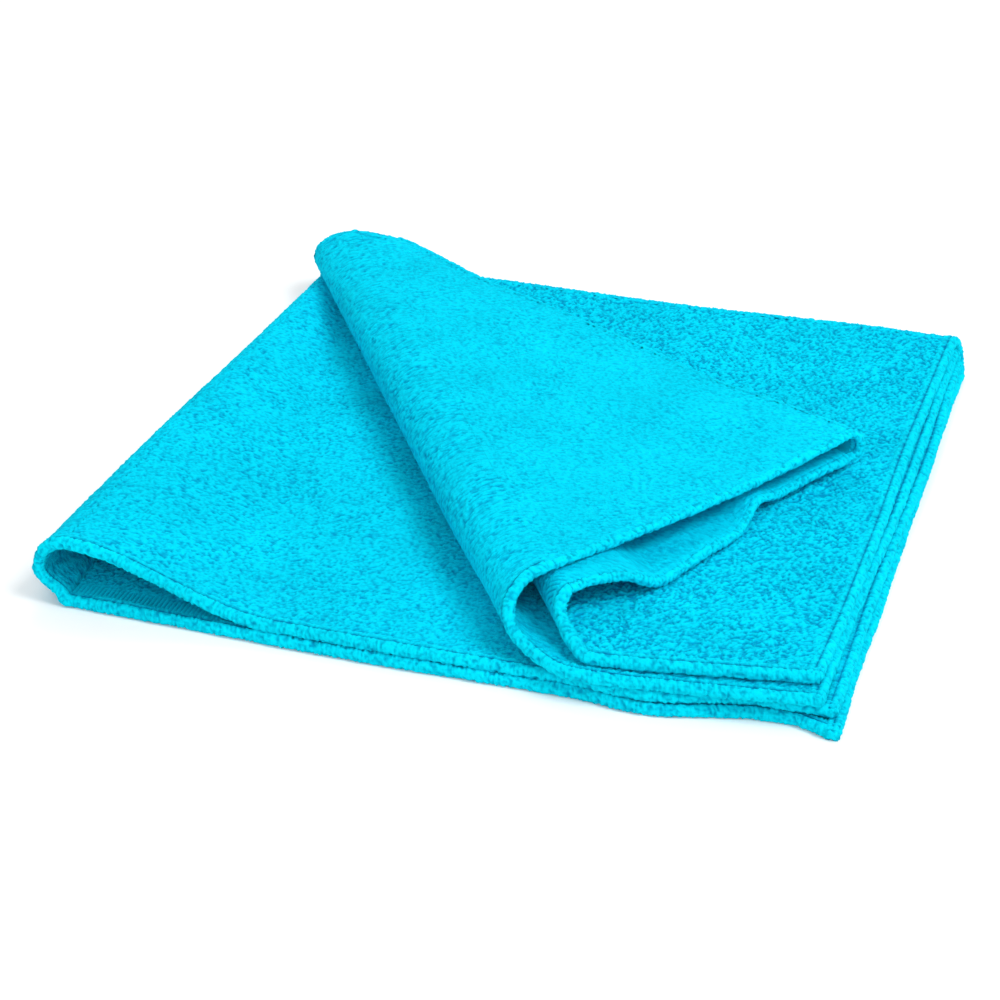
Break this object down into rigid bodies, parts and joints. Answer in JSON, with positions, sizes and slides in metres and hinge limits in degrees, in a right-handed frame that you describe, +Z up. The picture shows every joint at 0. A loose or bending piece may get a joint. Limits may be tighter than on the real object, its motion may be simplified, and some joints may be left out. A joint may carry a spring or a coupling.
{
  "type": "folded microfibre detailing cloth",
  "caption": "Terry microfibre cloth for washing, drying and buffing paintwork, folded in quarters with one corner of the upper plies turned back over a soft roll.",
  "frame": {"origin": "middle of the footprint, on the surface that the cloth lies on", "axes": "+Z up, +X along the front hem to the open corner, +Y from the front hem to the back fold"},
  "size_m": [0.2, 0.21, 0.024],
  "materials": {
    "terry": "looped microfibre pile",
    "hem": "overlocked edge in matching thread",
    "thread": "polyester overlock thread"
  },
  "bodies": {
    "folded_base": {"bottom_quarter": "terry", "bottom_front_hem": "hem", "bottom_right_hem": "hem", "second_quarter": "terry", "second_front_hem": "hem", "second_right_hem": "hem", "left_panel": "terry", "left_panel_hem": "hem", "left_fold": "terry", "left_fold_hem": "hem", "third_quarter": "terry", "third_front_hem": "hem", "third_right_hem": "hem", "top_quarter": "terry", "top_front_hem": "hem", "top_right_hem": "hem", "inner_back_fold": "terry", "inner_back_fold_hem": "hem", "outer_back_fold": "terry", "outer_back_fold_hem": "hem", "outer_roll": "terry", "outer_roll_hem": "hem", "inner_roll": "terry", "inner_roll_hem": "hem"},
    "corner_flap": {"flap_upper_ply": "terry", "flap_upper_hem": "hem", "flap_lower_ply": "terry", "flap_lower_hem": "hem", "flap_edge_fold": "terry", "flap_edge_fold_hem": "hem"}
  },
  "joints": [
    {"name": "corner_fold", "type": "hinge", "parent": "folded_base", "child": "corner_flap", "pos_m": [-0.03938, 0.02496, 0.015], "axis": [0.5299, -0.848, 0], "range_deg": [0, 45], "deforming": ["outer_roll", "outer_roll_hem", "inner_roll", "inner_roll_hem"]}
  ]
}
